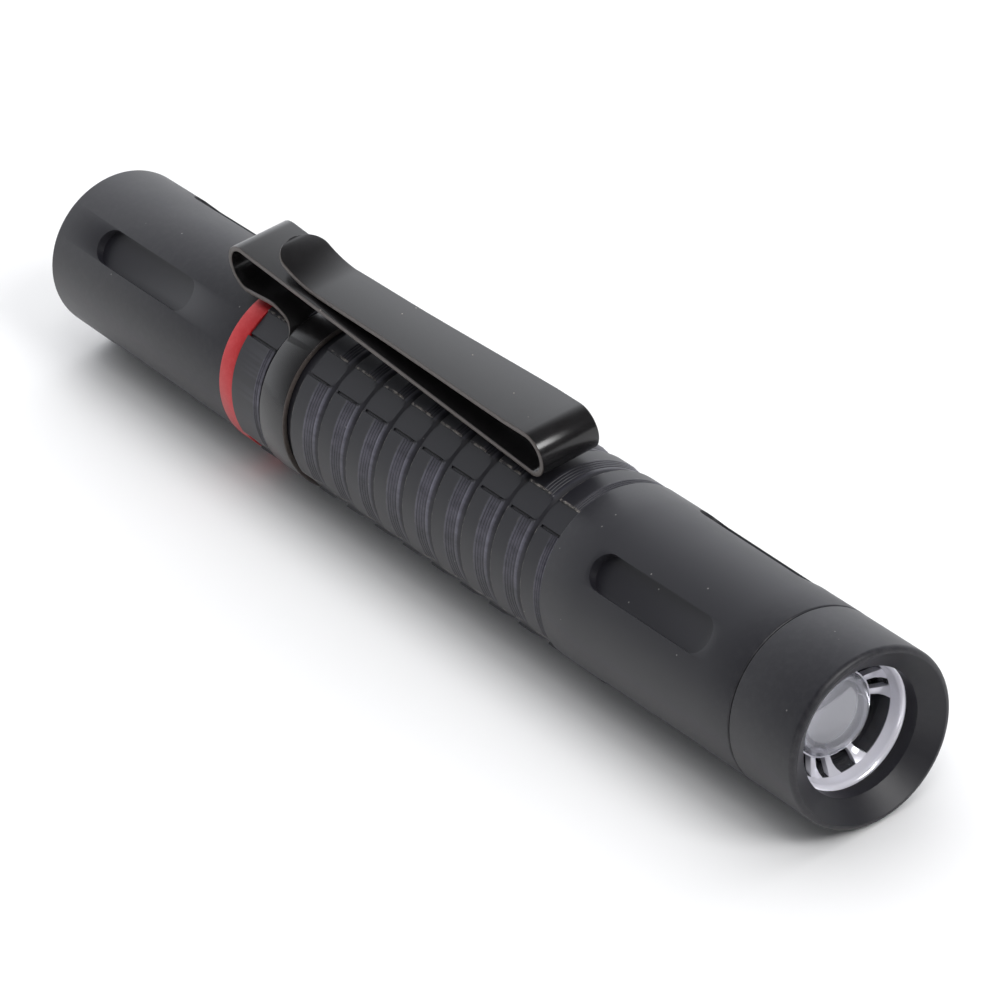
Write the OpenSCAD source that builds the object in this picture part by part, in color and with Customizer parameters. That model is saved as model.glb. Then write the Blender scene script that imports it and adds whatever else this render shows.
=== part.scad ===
// Ultraviolet pen torch for checking banknotes: one AAA cell, tail push button,
// screw-off tail cap and a swivelling two-way pocket clip folded from one steel strip.
// The pen lies along X with its lens at +X and the clip on top. Inside each module the
// rear rim is x = 0 and the pen's own axis is y = z = 0; in_frame() moves it into place.
// Angles are measured about the pen's axis from straight up, positive towards -Y.

/* [Tail cap] */
// Length of the tail cap, from the rear rim to the red ring
tail_length = 25.75; // [24:0.05:31]
// Radius of the tail cap at the rear rim
tail_rear_radius = 6.8; // [6.7:0.05:7.3]
// Radius of the tail cap where it meets the red ring
tail_front_radius = 6.92; // [6.9:0.01:7.4]
// Radius of the cavity that holds the switch
tail_cavity_radius = 5.6; // [5.3:0.05:5.65]
// Thickness of the wall behind the button's flange
tail_wall = 1.5; // [1:0.1:2.2]

/* [Accent ring] */
// Width of the red ring between tail cap and barrel
ring_width = 2.0; // [1.2:0.1:3]
// Outer radius of the red ring
ring_radius = 7.03; // [6.9:0.01:7.3]

/* [Barrel] */
// Outer radius of the ribs and of the collar behind the clip's band
rib_radius = 7.13; // [7.05:0.01:7.5]
// Distance from one rib to the next
rib_pitch = 3.8; // [3.2:0.05:4.6]
// Number of ribs in front of the clip's band
rib_count = 9; // [6:1:11]
// Width of the flat top of a rib
rib_land = 1.66; // [1.2:0.02:1.9]
// Length of the cone that steps down in front of each rib
rib_cone = 1.5; // [0.8:0.05:1.7]
// Depth of the step between a rib and the valley in front of it
rib_depth = 0.28; // [0.1:0.02:0.35]
// Width of the collar between the red ring and the groove of the clip's band
collar_width = 3.7; // [3:0.1:5]
// Width of the groove that the clip's band sits in
groove_width = 4.65; // [4:0.05:6]
// Depth of that groove below the ribs
groove_depth = 0.42; // [0.4:0.01:0.5]
// Bore of the barrel, which holds the cell
barrel_bore_radius = 5.38; // [5.3:0.01:5.45]
// Width of the flats milled along the barrel
barrel_flat_width = 2.35; // [1.5:0.05:3]
// Height of those flats above the pen's axis
barrel_flat_height = 6.88; // [6.8:0.01:7.0]
// Angle of the first of the four flats
barrel_flat_angle = 29.8; // [0:0.1:89]

/* [Head] */
// Length of the smooth head tube
head_length = 22.3; // [20:0.1:28]
// Radius of the head tube where it meets the barrel
head_rear_radius = 7.17; // [7.1:0.01:7.5]
// Radius of the head tube where it meets the bezel
head_front_radius = 7.02; // [7:0.01:7.5]
// Length of the straight stretch at the rear of the head tube
head_straight = 4.0; // [2:0.5:5]
// Length of the long slots milled in the head and in the tail cap
slot_length = 13.6; // [8:0.1:14]
// Width of those slots
slot_width = 2.95; // [2:0.05:3.6]
// Depth of the flat slot floor below the surface beside it
slot_depth = 0.72; // [0.3:0.02:0.75]
// Angle of the first of the four slots
slot_angle = 41.3; // [0:0.1:89]

/* [Bezel and optics] */
// Length of the bezel in front of the joint line
bezel_length = 7.2; // [6.5:0.1:9]
// Outer radius of the bezel
bezel_radius = 7.0; // [6.95:0.01:7.5]
// Radius of the rounded outer edge of the bezel
bezel_edge = 0.45; // [0.1:0.05:0.6]
// Radius of the opening in front of the lens
window_radius = 5.0; // [4.6:0.05:5.1]
// Depth of the dished front face
dish_depth = 1.3; // [0.8:0.05:1.6]
// Radius of the lens at its flange
lens_radius = 5.4; // [5.3:0.02:5.45]
// Radius of the dome in the middle of the lens
dome_radius = 3.2; // [2.5:0.05:3.4]

/* [Clip] */
// Thickness of the clip's steel strip
strip_thickness = 0.45; // [0.35:0.01:0.5]
// Width of the strip at its two bends
strip_width = 5.1; // [4.5:0.1:6]
// Width of the upper leaf near its free end
tongue_width = 4.2; // [3.4:0.1:4.5]
// Width of the band around the barrel
band_width = 3.3; // [2.8:0.05:3.8]
// Outer radius of the rear bend
rear_bend_radius = 2.07; // [1.8:0.01:2.3]
// Outer radius of the front bend
front_bend_radius = 1.87; // [1.7:0.01:2.2]
// Distance between the centres of the two bends
bend_spacing = 38.1; // [34:0.1:42]
// Length of the gap in the band, as an angle
band_gap = 60; // [30:1:90]

/* [Cell] */
// Length of the AAA cell over its positive cap
cell_length = 44.5; // [44:0.1:44.5]
// Radius of the AAA cell
cell_radius = 5.2; // [4.9:0.01:5.22]

/* [Switch and button] */
// Radius of the tail button
button_radius = 3.9; // [3.4:0.05:4.1]
// How far the button stands out of the tail cap
button_proud = 1.0; // [0.6:0.1:1.4]
// Travel of the tail button
button_travel = 1.4; // [0.8:0.1:1.6]

/* [Hidden] */
$fn = 96;

// Clearances
screw_clearance = 0.05;
slip_clearance = 0.08;
strip_clearance = 0.03;
face_gap = 0.05;
cut = 0.01;

// Places along the pen
ring_x = tail_length;
barrel_x = ring_x + ring_width;
groove_x = barrel_x + collar_width;
ribs_x = groove_x + groove_width;
last_rib = ribs_x + rib_pitch * (rib_count - 1);
last_cone = 0.85;
head_x = last_rib + rib_land + last_cone;
bezel_x = head_x + head_length;
front_x = bezel_x + bezel_length;
axis_height = head_rear_radius;
middle_x = (front_x - button_proud) / 2;

// Threads, with crests between two roots in each pitch
thread_pitch = 0.8;
thread_depth = 0.25;
thread_form = [[0, 0], [1, 0.2], [1, 0.45], [0, 0.65]];

// Spigot at the barrel's rear end, which carries the tail cap and the red ring
tail_spigot_radius = 6.3;
tail_spigot_length = 7.85;
tail_spigot_x = barrel_x - tail_spigot_length;
tail_thread_turns = 4;
tail_slot_x = tail_spigot_x - slot_length - 0.7;
tail_seal_radius = tail_spigot_radius + slip_clearance;
o_ring_thickness = 0.6;
o_ring_squeeze = 0.02;
gland_width = o_ring_thickness + 0.2;
gland_radius = tail_seal_radius - o_ring_thickness - 2 * o_ring_squeeze;
gland_x = ring_x - 1.9;
seal_bore_x = gland_x - 0.4;

// Spigot at the barrel's front end, which screws into the head
front_spigot_radius = 6.2;
front_spigot_length = 4.0;
front_spigot_x = head_x + front_spigot_length;
front_thread_turns = 4;
head_socket_x = front_spigot_x + 0.15;

// Pill that carries the board of the light emitting diode
pill_radius = 5.8;
pill_bore_radius = pill_radius + 0.03;
pill_x = head_x + 6.1;
pill_front = bezel_x - 4;
pill_length = pill_front - pill_x;
pill_wall = 3;
pill_cavity_radius = 5.05;
driver_x = pill_x + 0.1;
driver_thickness = 1;
parts_x = driver_x + driver_thickness;
wire_radius = 0.45;
wire_height = 3.4;
wire_hole_radius = 0.7;
led_board_radius = 4.9;
led_board_thickness = 1;
led_x = pill_front + led_board_thickness;

// Bezel
bezel_spigot_radius = 6.1;
bezel_spigot_length = bezel_x - pill_front - 0.1;
window_x = front_x - dish_depth;
lip_x = window_x - 1.05;
lens_bore_radius = lens_radius + strip_clearance;
seal_thickness = 0.25;
lens_front = lip_x - seal_thickness;
lens_depth = 3.6;
lens_rear = lens_front - lens_depth;
lens_well_radius = 4.3;
lens_mouth_radius = 4.85;
lens_webs = [27, 48, 78];
web_front = lens_rear + 1.4;
collar_front = lens_rear + 1.7;
dome_height = 1.5;
rim_radius = bezel_radius - bezel_edge;

// Cell and springs
cell_x = pill_x - 3.1 - cell_length;
cap_height = 0.9;

// Switch
flange_radius = button_radius + 0.75;
flange_thickness = 0.8;
flange_x = tail_wall + 0.1;
plunger_x = flange_x + flange_thickness;
housing_x = plunger_x + button_travel + 0.25;
housing_length = 11.4;
housing_wall = 2.2;
housing_front = housing_x + housing_length;
switch_part_radius = tail_cavity_radius - face_gap;
stem_radius = 1.6;
collar_radius = 2.8;
collar_x = housing_x + housing_wall + 0.1;
collar_length = 1.4;
nose_radius = 1.1;
contact_thickness = 0.8;
contact_x = housing_front - contact_thickness - 0.05;
nose_front = contact_x - button_travel - 0.15;
switch_spring_x = collar_x + collar_length + 0.05;
board_thickness = 1;
retainer_x = housing_front + board_thickness;
retainer_width = 1.7;
retainer_bore = 4.35;

// Clip
band_inner = rib_radius - groove_depth + strip_clearance;
band_outer = band_inner + strip_thickness;
band_x = groove_x + 0.35;
rear_bend = [band_x - 6.5, rib_radius + 2.22];
front_bend = [rear_bend[0] + bend_spacing, rear_bend[1]];
rear_inner = rear_bend_radius - strip_thickness;
front_inner = front_bend_radius - strip_thickness;
leaf_slope = asin((rear_bend_radius + front_inner) / bend_spacing);
root_slope = 3.5;
flex_gap = 0.16;
flare_radius = 9;
flare_angle = 24;
flare_x = rear_bend[0] + 9.9;
tip_length = 2.2;

// ---------------------------------------------------------------- helpers

// Puts the pen's axis at its height above the surface and the origin under the middle
module in_frame() {
    translate([-middle_x, 0, axis_height]) children();
}

// A solid of revolution about the pen's axis, from points [radius, x]
module turned(points) {
    rotate([0, 90, 0]) rotate_extrude() polygon(points);
}

// A ring or tube about the pen's axis
module tube(x, length, outer, inner) {
    turned([[inner, x], [outer, x], [outer, x + length], [inner, x + length]]);
}

// A disc or rod about the pen's axis
module rod(x, length, radius) {
    translate([x, 0, 0]) rotate([0, 90, 0]) cylinder(h = length, r = radius);
}

// Copies turned about the pen's axis
module around(count, first) {
    for (i = [0 : count - 1]) rotate([first + 360 * i / count, 0, 0]) children();
}

// Cutter for a flat-bottomed slot with round ends, milled from above
module slot_cutter(x, length, width, floor_height) {
    translate([x + width / 2, 0, floor_height]) cylinder(h = 2, r = width / 2, $fn = 48);
    translate([x + length - width / 2, 0, floor_height]) cylinder(h = 2, r = width / 2, $fn = 48);
    translate([x + width / 2, -width / 2, floor_height]) cube([length - width, width, 2]);
}

// Crests of an annular thread, as points [radius, x] from the rear to the front
function thread(x, turns, crest) = [
    for (i = [0 : turns - 1], p = thread_form)
        [crest - thread_depth * (1 - p[0]), x + (i + p[1]) * thread_pitch]
];

// Points of an arc
function arc(centre, radius, from, to, steps) = [
    for (i = [0 : steps])
        centre + radius * [cos(from + (to - from) * i / steps), sin(from + (to - from) * i / steps)]
];

function reversed(list) = [for (i = [len(list) - 1 : -1 : 0]) list[i]];

// Sets a side view of the strip, drawn as [x, height], upright over the pen's axis
module side_view(points, width) {
    translate([0, width / 2, 0]) rotate([90, 0, 0]) linear_extrude(height = width) polygon(points);
}

// A wire coil along X, swept as one closed tube with six sides
module coil(x, length, start_radius, end_radius, wire_radius, turns) {
    steps = turns * 20;
    sides = 6;
    function ring(i) = [
        for (k = [0 : sides - 1])
            let (s = i / steps,
                 turn = 360 * turns * s,
                 radius = start_radius + (end_radius - start_radius) * s,
                 side = 360 * k / sides,
                 out = radius + wire_radius * cos(side))
            [x + wire_radius + (length - 2 * wire_radius) * s + wire_radius * sin(side),
             out * cos(turn), out * sin(turn)]
    ];
    points = [for (i = [0 : steps]) each ring(i)];
    walls = [for (i = [0 : steps - 1], k = [0 : sides - 1])
        [i * sides + k, i * sides + (k + 1) % sides,
         (i + 1) * sides + (k + 1) % sides, (i + 1) * sides + k]];
    first = [for (k = [sides - 1 : -1 : 0]) k];
    last = [for (k = [0 : sides - 1]) steps * sides + k];
    polyhedron(points, concat([first], walls, [last]), convexity = 8);
}

// ---------------------------------------------------------------- tail

module tail_cap() {
    opening = button_radius + 0.1;
    thread_radius = tail_spigot_radius + screw_clearance;
    thread_x = tail_spigot_x - 0.05;
    color("#2b2a2d") in_frame() difference() {
        turned([
            [opening, 0], [tail_rear_radius - 0.12, 0], [tail_rear_radius, 0.12],
            [tail_front_radius, tail_length], [tail_seal_radius, tail_length],
            [tail_seal_radius, seal_bore_x], [thread_radius, seal_bore_x - 0.1],
            [thread_radius, thread_x], [tail_cavity_radius, thread_x],
            [tail_cavity_radius, tail_wall], [opening, tail_wall]
        ]);
        around(4, slot_angle)
            slot_cutter(tail_slot_x, slot_length, slot_width, tail_rear_radius - slot_depth);
    }
}

module tail_button() {
    dome_x = -button_proud;
    color("#1c1c1e") in_frame() turned([
        [0, dome_x], [button_radius - 1.1, dome_x + 0.12], [button_radius - 0.45, dome_x + 0.4],
        [button_radius, dome_x + 0.9], [button_radius, flange_x], [flange_radius, flange_x],
        [flange_radius, plunger_x], [0, plunger_x]
    ]);
}

module switch_housing() {
    bore = collar_radius + slip_clearance;
    neck = stem_radius + slip_clearance;
    color("#303338") in_frame() turned([
        [neck, housing_x], [switch_part_radius, housing_x], [switch_part_radius, housing_front],
        [bore, housing_front], [bore, housing_x + housing_wall], [neck, housing_x + housing_wall]
    ]);
}

module switch_plunger() {
    collar_end = collar_x + collar_length;
    color("#d8d4c8") in_frame() turned([
        [0, plunger_x], [stem_radius, plunger_x], [stem_radius, collar_x],
        [collar_radius, collar_x], [collar_radius, collar_end], [nose_radius, collar_end],
        [nose_radius, nose_front], [0, nose_front]
    ]);
}

module switch_spring() {
    color("silver") in_frame()
        coil(switch_spring_x, contact_x - 0.05 - switch_spring_x, 2.1, 2.1, 0.2, 6);
}

module switch_contact() {
    color("#c9a14a") in_frame() rod(contact_x, contact_thickness, collar_radius - 0.1);
}

module switch_board() {
    color("#2f6b3c") in_frame() rod(housing_front, board_thickness, switch_part_radius);
}

module switch_retainer() {
    notch_width = 1;
    notch_depth = 0.6;
    color("#c9a14a") in_frame() difference() {
        tube(retainer_x, retainer_width, switch_part_radius, retainer_bore);
        around(2, 0)
            translate([retainer_x + retainer_width - notch_depth, -notch_width / 2, retainer_bore - 0.3])
                cube([1, notch_width, 2]);
    }
}

module tail_spring() {
    color("silver") in_frame()
        coil(retainer_x, cell_x - retainer_x, 3.7, 2.6, 0.3, 6);
}

module accent_ring() {
    bevel = 0.08;
    rear = ring_x + face_gap;
    front = barrel_x - face_gap;
    color("#c02a30") in_frame() turned([
        [tail_seal_radius, rear], [ring_radius - bevel, rear], [ring_radius, rear + bevel],
        [ring_radius, front - bevel], [ring_radius - bevel, front], [tail_seal_radius, front]
    ]);
}

module tail_o_ring() {
    section = o_ring_thickness / 2;
    color("#141414") in_frame() rotate([0, 90, 0]) rotate_extrude()
        translate([tail_seal_radius - o_ring_squeeze - section, gland_x + gland_width / 2])
            circle(r = section, $fn = 24);
}

// ---------------------------------------------------------------- barrel

// Surface of one rib: its land, the cone in front of it and the valley
function rib(x) = [
    [rib_radius, x], [rib_radius, x + rib_land],
    [rib_radius - rib_depth, x + rib_land + rib_cone],
    [rib_radius - rib_depth, x + rib_pitch - cut]
];

module barrel() {
    groove_radius = rib_radius - groove_depth;
    color("#2b2a2d") in_frame() difference() {
        turned(concat(
            [[barrel_bore_radius, tail_spigot_x]],
            thread(tail_spigot_x + 0.25, tail_thread_turns, tail_spigot_radius),
            [[tail_spigot_radius, gland_x], [gland_radius, gland_x],
             [gland_radius, gland_x + gland_width], [tail_spigot_radius, gland_x + gland_width],
             [tail_spigot_radius, barrel_x],
             [rib_radius, barrel_x], [rib_radius, groove_x - 0.65],
             [rib_radius - 0.15, groove_x], [groove_radius, groove_x], [groove_radius, ribs_x]],
            [for (i = [0 : rib_count - 2]) each rib(ribs_x + rib_pitch * i)],
            [[rib_radius, last_rib], [rib_radius, last_rib + rib_land],
             [rib_radius - 0.2, head_x], [front_spigot_radius, head_x]],
            thread(head_x + 0.4, front_thread_turns, front_spigot_radius),
            [[front_spigot_radius - thread_depth, front_spigot_x],
             [barrel_bore_radius, front_spigot_x]]
        ));
        around(4, barrel_flat_angle) {
            translate([barrel_x - cut, -barrel_flat_width / 2, barrel_flat_height])
                cube([collar_width + cut, barrel_flat_width, 1]);
            translate([ribs_x - cut, -barrel_flat_width / 2, barrel_flat_height])
                cube([head_x - ribs_x + cut, barrel_flat_width, 1]);
        }
    }
}

// ---------------------------------------------------------------- clip

// The strip's two faces: the first is the outside of the rear bend, the second its inside
root_start = band_x - 0.3;
root_crest = [band_x - 2.3, rib_radius + 0.92];
rear_bottom = 270 + root_slope;
leaf_top = 90 - leaf_slope;
leaf_bottom = 270 - leaf_slope;
arc_steps = 10;
gap_angle = 360 * flex_gap / (2 * PI * rear_bend_radius);

root_outside = [
    [band_x + 0.9, band_outer - 0.1], [band_x - 0.25, band_outer + 0.05],
    root_crest + [0.5, -strip_thickness], root_crest + [-0.4, -strip_thickness]
];
root_inside = [
    [band_x + 0.9, band_outer], [band_x, band_outer + 0.3], root_crest + [0.9, -0.1], root_crest
];

module band_ring() {
    difference() {
        tube(band_x, band_width, band_outer, band_inner);
        rotate([0, 90, 0]) translate([0, 0, band_x - 1]) linear_extrude(height = band_width + 2)
            polygon([[0, 0], [20, 20 * tan(band_gap / 2)], [20, -20 * tan(band_gap / 2)]]);
    }
}

module clip_band() {
    color("#18181a") in_frame() union() {
        band_ring();
        side_view(concat(
            root_outside,
            arc(rear_bend, rear_bend_radius, rear_bottom, 180 + gap_angle / 2, arc_steps),
            arc(rear_bend, rear_inner, 180 + gap_angle / 2, rear_bottom, arc_steps),
            reversed(root_inside)
        ), strip_width);
        difference() {
            side_view([
                [band_x, 6], [band_x + 0.9, 6], [band_x + 0.9, band_outer],
                [band_x, band_outer + 0.3]
            ], strip_width);
            rod(band_x - 1, 4, band_inner);
        }
    }
}

module clip_arm() {
    color("#18181a") in_frame() side_view(concat(
        arc(rear_bend, rear_bend_radius, 180 - gap_angle / 2, leaf_top, arc_steps),
        arc(front_bend, front_inner, leaf_bottom - 360, -gap_angle / 2, arc_steps),
        arc(front_bend, front_bend_radius, -gap_angle / 2, leaf_bottom - 360, arc_steps),
        arc(rear_bend, rear_inner, leaf_top, 180 - gap_angle / 2, arc_steps)
    ), strip_width);
}

module clip_tongue() {
    flare_centre = [flare_x, front_bend[1] + front_bend_radius + flare_radius];
    flare_end = 270 - flare_angle;
    tip_step = tip_length * [-cos(flare_angle), sin(flare_angle)];
    top = arc(flare_centre, flare_radius, 270, flare_end, 6);
    bottom = arc(flare_centre, flare_radius + strip_thickness, flare_end, 270, 6);
    tip_x = top[6][0] + tip_step[0];
    nose = tongue_width / 2;
    color("#18181a") in_frame() intersection() {
        side_view(concat(
            arc(front_bend, front_bend_radius, gap_angle / 2, 90, arc_steps),
            top, [top[6] + tip_step], [bottom[0] + tip_step], bottom,
            arc(front_bend, front_inner, 90, gap_angle / 2, arc_steps)
        ), strip_width);
        linear_extrude(height = 40) union() {
            polygon([
                [front_bend[0] + 4, strip_width / 2], [front_bend[0] - 3, strip_width / 2],
                [front_bend[0] - 21, nose], [tip_x + nose, nose],
                [tip_x + nose, -nose], [front_bend[0] - 21, -nose],
                [front_bend[0] - 3, -strip_width / 2], [front_bend[0] + 4, -strip_width / 2]
            ]);
            translate([tip_x + nose, 0]) circle(r = nose, $fn = 48);
        }
    }
}

// ---------------------------------------------------------------- cell

module cell_can() {
    body_end = cell_x + cell_length - cap_height - 0.25;
    color("#3b5f8a") in_frame() turned([
        [0, cell_x], [cell_radius - 0.5, cell_x], [cell_radius, cell_x + 0.4],
        [cell_radius, body_end - 0.3], [cell_radius - 0.4, body_end], [0, body_end]
    ]);
}

module cell_insulator() {
    color("white") in_frame()
        tube(cell_x + cell_length - cap_height - 0.25, 0.25, cell_radius - 0.6, 2.3);
}

module cell_cap() {
    start = cell_x + cell_length - cap_height - 0.25;
    color("silver") in_frame() turned([
        [0, start], [2.2, start], [2.2, start + 0.2], [1.9, start + 0.25],
        [1.9, start + cap_height + 0.1], [1.75, start + cap_height + 0.25],
        [0, start + cap_height + 0.25]
    ]);
}

// ---------------------------------------------------------------- head

module head() {
    slot_x = head_socket_x + 0.25;
    socket_radius = front_spigot_radius + screw_clearance;
    bezel_thread_radius = bezel_spigot_radius + screw_clearance;
    color("#2b2a2d") in_frame() difference() {
        turned([
            [socket_radius, head_x], [head_rear_radius - 0.05, head_x],
            [head_rear_radius, head_x + 0.05], [head_rear_radius, head_x + head_straight],
            [head_front_radius, bezel_x - 3.5], [head_front_radius, bezel_x],
            [bezel_thread_radius, bezel_x], [bezel_thread_radius, pill_front],
            [pill_bore_radius, pill_front], [pill_bore_radius, head_socket_x],
            [socket_radius, head_socket_x]
        ]);
        around(4, slot_angle)
            slot_cutter(slot_x, slot_length, slot_width, head_front_radius + 0.1 - slot_depth);
    }
}

module pill() {
    color("#c9a14a") in_frame() difference() {
        turned([
            [pill_cavity_radius, pill_x], [pill_radius, pill_x], [pill_radius, pill_front],
            [0, pill_front], [0, pill_front - pill_wall], [pill_cavity_radius, pill_front - pill_wall]
        ]);
        around(2, 90) translate([pill_front - pill_wall - 1, 0, wire_height]) rotate([0, 90, 0])
            cylinder(h = pill_wall + 2, r = wire_hole_radius, $fn = 32);
    }
}

module driver_board() {
    color("#2f6b3c") in_frame() rod(driver_x, driver_thickness, pill_cavity_radius - face_gap);
}

// Parts soldered on the inner side of the driver board: coil, chip and capacitor
module driver_parts() {
    color("#46484c") in_frame() {
        translate([parts_x, -2.6, -1.4]) cube([1.6, 2.2, 2.8]);
        translate([parts_x, 1, 0.6]) cube([0.9, 1.7, 1.5]);
        translate([parts_x, 1, -2.2]) cube([0.7, 1.2, 1.9]);
    }
}

module driver_spring() {
    start = cell_x + cell_length;
    color("#d9b45a") in_frame() coil(start, driver_x - start, 1.6, 2.4, 0.25, 4);
}

module led_board() {
    color("#e6e6e2") in_frame() rod(pill_front, led_board_thickness, led_board_radius);
}

// Package and dome of the light emitting diode
module led_emitter() {
    package = 3.4;
    height = 0.7;
    dome = 1.3;
    color("#e8e6c8") in_frame() union() {
        translate([led_x, -package / 2, -package / 2]) cube([height, package, package]);
        rotate([0, 90, 0]) rotate_extrude($fn = 48)
            polygon(concat([[0, led_x + height - 0.1]], arc([0, led_x + height], dome, 0, 90, 8)));
    }
}

// One lead from the driver board, through its hole in the pill, to the board in front
module lead_wire(side) {
    around(1, side * 90) translate([parts_x, 0, wire_height]) rotate([0, 90, 0])
        cylinder(h = pill_front - parts_x, r = wire_radius, $fn = 24);
}

module lead_wire_red() {
    color("#b32624") in_frame() lead_wire(1);
}

module lead_wire_black() {
    color("#202020") in_frame() lead_wire(-1);
}

// ---------------------------------------------------------------- bezel and lens

module lens_spacer() {
    color("#e9e9e6") in_frame() tube(led_x, lens_rear - led_x, lens_radius, lens_well_radius - 0.1);
}

// Clear collimator: flanged tube, dome in the middle and three groups of three webs that hold it
module lens() {
    web_width = 0.5;
    color("#d6dcec") in_frame() difference() {
        union() {
            turned([
                [lens_well_radius, lens_rear], [lens_radius, lens_rear], [lens_radius, lens_front],
                [lens_mouth_radius, lens_front], [lens_mouth_radius - 0.25, lens_front - 1.2],
                [lens_well_radius, collar_front + 0.1]
            ]);
            turned([
                [0, lens_rear], [lens_well_radius + 0.1, lens_rear],
                [lens_well_radius + 0.1, web_front], [dome_radius + 0.12, web_front],
                [dome_radius + 0.12, collar_front], [0, collar_front]
            ]);
            rotate([0, 90, 0]) rotate_extrude()
                polygon(concat([[0, collar_front - 0.1]],
                    [for (i = [0 : 10]) let (a = 9 * i)
                        [dome_radius * cos(a), collar_front - 0.1 + dome_height * sin(a)]]));
        }
        difference() {
            tube(lens_rear - 1, lens_depth, lens_well_radius, dome_radius + 0.25);
            for (first = lens_webs) around(3, first)
                translate([lens_rear - 2, -web_width / 2, dome_radius - 0.5])
                    cube([lens_depth + 2, web_width, 2.5]);
        }
    }
}

module lens_seal() {
    color("#141414") in_frame() tube(lens_front, seal_thickness, lens_radius, window_radius + 0.05);
}

module bezel() {
    spigot_x = bezel_x - bezel_spigot_length;
    bezel_thread_turns = 4;
    joint_gap = 0.04;
    color("#2b2a2d") in_frame() turned(concat(
        [[lens_bore_radius, spigot_x], [bezel_spigot_radius - thread_depth, spigot_x]],
        thread(spigot_x + 0.1, bezel_thread_turns, bezel_spigot_radius),
        [[bezel_spigot_radius - thread_depth, bezel_x + joint_gap],
         [bezel_radius - 0.06, bezel_x + joint_gap], [bezel_radius, bezel_x + joint_gap + 0.06]],
        arc([rim_radius, front_x - bezel_edge], bezel_edge, 0, 90, 6),
        [[rim_radius - 0.02, front_x], [window_radius, window_x], [window_radius, lip_x],
         [lens_bore_radius, lip_x]]
    ));
}

tail_cap();
tail_button();
switch_housing();
switch_plunger();
switch_spring();
switch_contact();
switch_board();
switch_retainer();
tail_spring();
accent_ring();
tail_o_ring();
barrel();
clip_band();
clip_arm();
clip_tongue();
cell_can();
cell_insulator();
cell_cap();
head();
pill();
driver_board();
driver_parts();
driver_spring();
led_board();
led_emitter();
lead_wire_red();
lead_wire_black();
lens_spacer();
lens();
lens_seal();
bezel();
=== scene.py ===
import math

import bmesh
import bpy
import numpy as np
from bpy.props import FloatProperty, FloatVectorProperty, IntProperty, PointerProperty
from bpy.types import Operator, Panel, PropertyGroup
from mathutils import Matrix, Vector


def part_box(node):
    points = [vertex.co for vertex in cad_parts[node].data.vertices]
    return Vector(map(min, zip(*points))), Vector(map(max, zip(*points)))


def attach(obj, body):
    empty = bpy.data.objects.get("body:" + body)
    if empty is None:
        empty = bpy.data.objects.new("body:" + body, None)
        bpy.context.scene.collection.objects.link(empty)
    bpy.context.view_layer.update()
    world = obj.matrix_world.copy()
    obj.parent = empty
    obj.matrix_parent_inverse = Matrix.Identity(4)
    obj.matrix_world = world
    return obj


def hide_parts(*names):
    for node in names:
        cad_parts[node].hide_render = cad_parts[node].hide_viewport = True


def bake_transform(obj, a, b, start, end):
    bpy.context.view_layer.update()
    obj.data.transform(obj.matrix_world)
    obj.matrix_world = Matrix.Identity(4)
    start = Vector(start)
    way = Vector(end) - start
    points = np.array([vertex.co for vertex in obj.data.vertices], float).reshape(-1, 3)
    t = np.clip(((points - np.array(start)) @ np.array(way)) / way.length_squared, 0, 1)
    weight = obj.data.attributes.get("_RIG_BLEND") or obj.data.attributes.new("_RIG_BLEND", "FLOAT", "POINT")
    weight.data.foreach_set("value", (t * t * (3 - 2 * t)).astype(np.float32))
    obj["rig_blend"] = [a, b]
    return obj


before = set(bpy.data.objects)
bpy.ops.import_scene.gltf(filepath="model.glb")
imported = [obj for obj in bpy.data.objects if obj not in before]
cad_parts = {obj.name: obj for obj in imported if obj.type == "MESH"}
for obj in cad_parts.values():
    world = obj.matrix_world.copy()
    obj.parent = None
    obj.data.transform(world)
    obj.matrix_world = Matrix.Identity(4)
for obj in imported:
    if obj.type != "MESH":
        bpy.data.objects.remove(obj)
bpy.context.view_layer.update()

bl_info = {
    "name": "Ultraviolet Pen Torch",
    "version": (1, 0, 0),
    "blender": (4, 5, 0),
    "location": "View3D > Sidebar > Pen Torch",
    "description": "Builds an ultraviolet pen torch with a red ring, a ribbed barrel and a folded clip",
    "category": "Object",
}

MM = 0.001
# Radius that stands for a point on the axis, so that a lathe mesh closes there, in millimetres
AXIS = 1e-4
# The rear rim and the height of the pen's own axis, both read from the frame
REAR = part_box("tail_cap")[0][0]
AXIS_Z = (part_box("head")[0][2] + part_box("head")[1][2]) / 2


def along(node, end):
    """Distance in millimetres from the rear rim to the low (0) or high (1) end of a CAD node."""
    return (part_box(node)[end][0] - REAR) / MM


RING_X = along("tail_cap", 1)
BARREL_X = along("accent_ring", 1) + 0.05
HEAD_X = along("head", 0)
BEZEL_X = along("head", 1)
FRONT_X = along("bezel", 1)

# Bore of the ring and of the tail cap's mouth, and the rear thread's two ends from the rear rim
SPIGOT = 6.38
THREAD_START, THREAD_END = 20.15, 23.35


# ---------------------------------------------------------------- sizes and colours


def length(name, description, millimetres):
    return FloatProperty(name=name, description=description, default=millimetres, subtype="DISTANCE_CAMERA")


def angle(name, description, degrees):
    return FloatProperty(name=name, description=description, default=math.radians(degrees), subtype="ANGLE")


def paint(name, description, colour):
    return FloatVectorProperty(name=name, description=description, default=colour, size=3, subtype="COLOR")


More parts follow.
